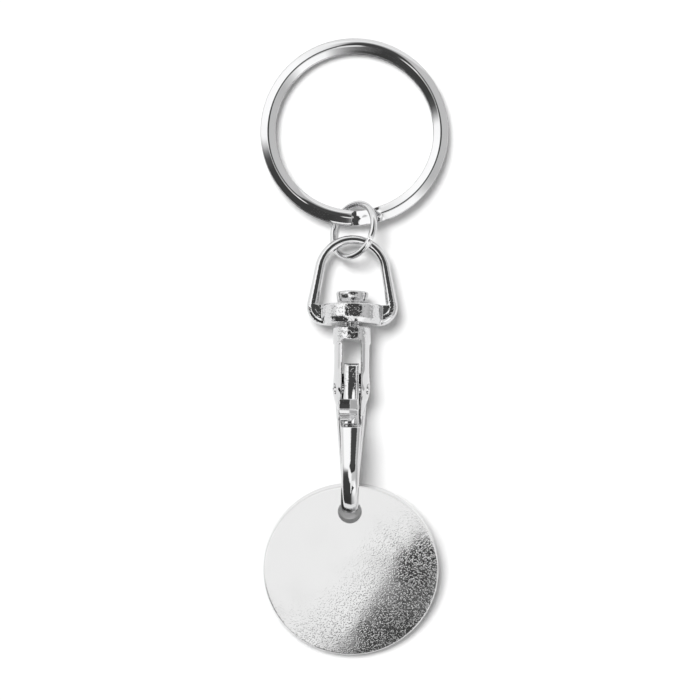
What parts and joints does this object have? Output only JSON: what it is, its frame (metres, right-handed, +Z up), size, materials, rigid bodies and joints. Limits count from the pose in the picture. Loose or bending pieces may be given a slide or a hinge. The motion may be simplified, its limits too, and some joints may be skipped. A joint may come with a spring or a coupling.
{
  "type": "coin holder keyring",
  "caption": "Metal keyring with a split ring, a round link, a swivel snap hook with a sprung thumb gate, and a blank shopping-trolley token hung by a hole near its rim.",
  "frame": {"origin": "under the middle of the whole keyring, on the surface that it lies on", "axes": "+Y runs from the token to the split ring, +Z is up, and +X is to the right as seen from above"},
  "size_m": [0.025, 0.0821, 0.0105],
  "materials": {
    "split_ring": "polished nickel-bright plating",
    "link_ring": "polished nickel-bright plating",
    "swivel_bow": "bright plating on a casting",
    "swivel_rivet": "bright plating on a casting",
    "hook_body": "bright plating on a casting",
    "gate_lever": "bright plating on a casting",
    "gate_pin": "bright plating",
    "gate_spring": "plain spring wire",
    "coin_token": "bright plating over a fine pebble grain"
  },
  "bodies": {
    "hook": {"hook_body": "hook_body", "swivel_rivet": "swivel_rivet", "gate_pin": "gate_pin", "gate_spring": "gate_spring"},
    "bow": {"swivel_bow": "swivel_bow"},
    "gate": {"gate_lever": "gate_lever"},
    "token": {"coin_token": "coin_token"},
    "link": {"link_ring": "link_ring"},
    "ring": {"split_ring": "split_ring"}
  },
  "joints": [
    {"name": "swivel_spin", "type": "hinge", "parent": "hook", "child": "bow", "pos_m": [-0.00033, 0.0029, 0.00426], "axis": [0.0122, 0.9961, -0.0872], "continuous": true},
    {"name": "gate_pivot", "type": "hinge", "parent": "hook", "child": "gate", "pos_m": [-0.00043, -0.00556, 0.00621], "axis": [0.9999, -0.0122, 0], "range_deg": [0, 40], "stiffness_Nm_per_rad": 0.007, "springref_deg": -22.92, "deforming": ["gate_spring"]},
    {"name": "token_swing", "type": "hinge", "parent": "hook", "child": "token", "pos_m": [-0.00063, -0.02159, 0.00515], "axis": [0.0041, -0.2146, 0.9767], "range_deg": [-90, 90]},
    {"name": "link_swing", "type": "hinge", "parent": "bow", "child": "link", "pos_m": [-0.00019, 0.01415, 0.00328], "axis": [0.9393, -0.0413, -0.3407], "range_deg": [-60, 60]},
    {"name": "ring_swing", "type": "hinge", "parent": "link", "child": "ring", "pos_m": [0, 0.01708, 0.00258], "axis": [0.9613, 0, -0.2756], "range_deg": [-75, 75]}
  ]
}
